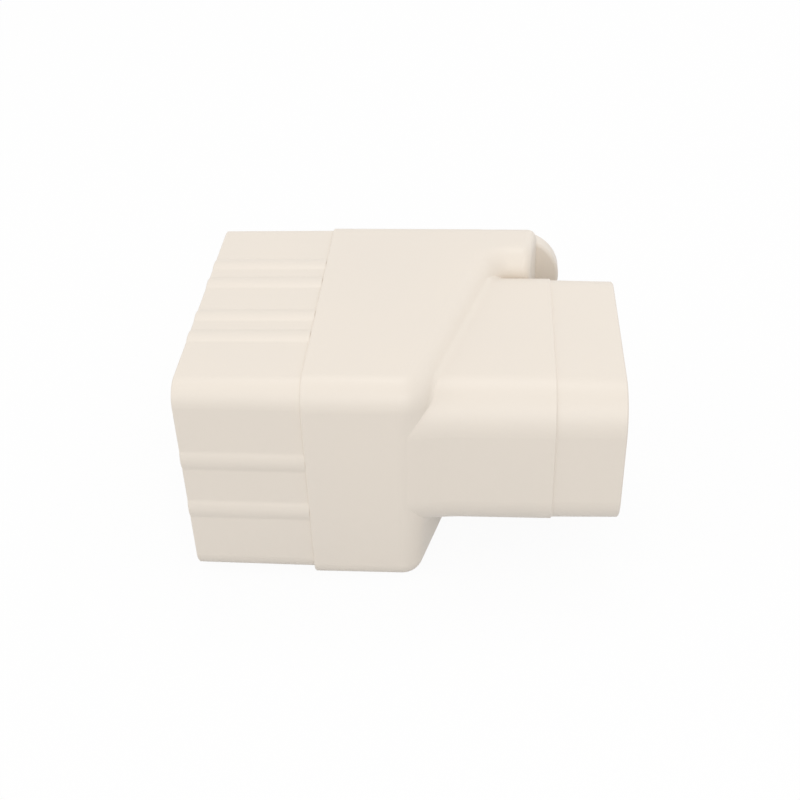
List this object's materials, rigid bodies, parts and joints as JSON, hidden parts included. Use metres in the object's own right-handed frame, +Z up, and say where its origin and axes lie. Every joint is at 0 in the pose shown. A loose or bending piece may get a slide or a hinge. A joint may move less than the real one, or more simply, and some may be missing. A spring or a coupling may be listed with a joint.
{
  "type": "downspout rain diverter",
  "caption": "One-piece moulded downspout diverter: fluted inlet sleeve, sloping floor, side sump with a hose port, and a stepped outlet spigot for the pipe below.",
  "frame": {"origin": "centre of the inlet sleeve's mouth", "axes": "+X along the flow to the outlet spigot, +Y towards the hose port, +Z up with the diverter lying on its broad side"},
  "size_m": [0.1314, 0.1046, 0.0734],
  "materials": {
    "ivory_plastic": "satin moulded"
  },
  "bodies": {
    "root": {"diverter_body": "ivory_plastic"}
  },
  "joints": []
}
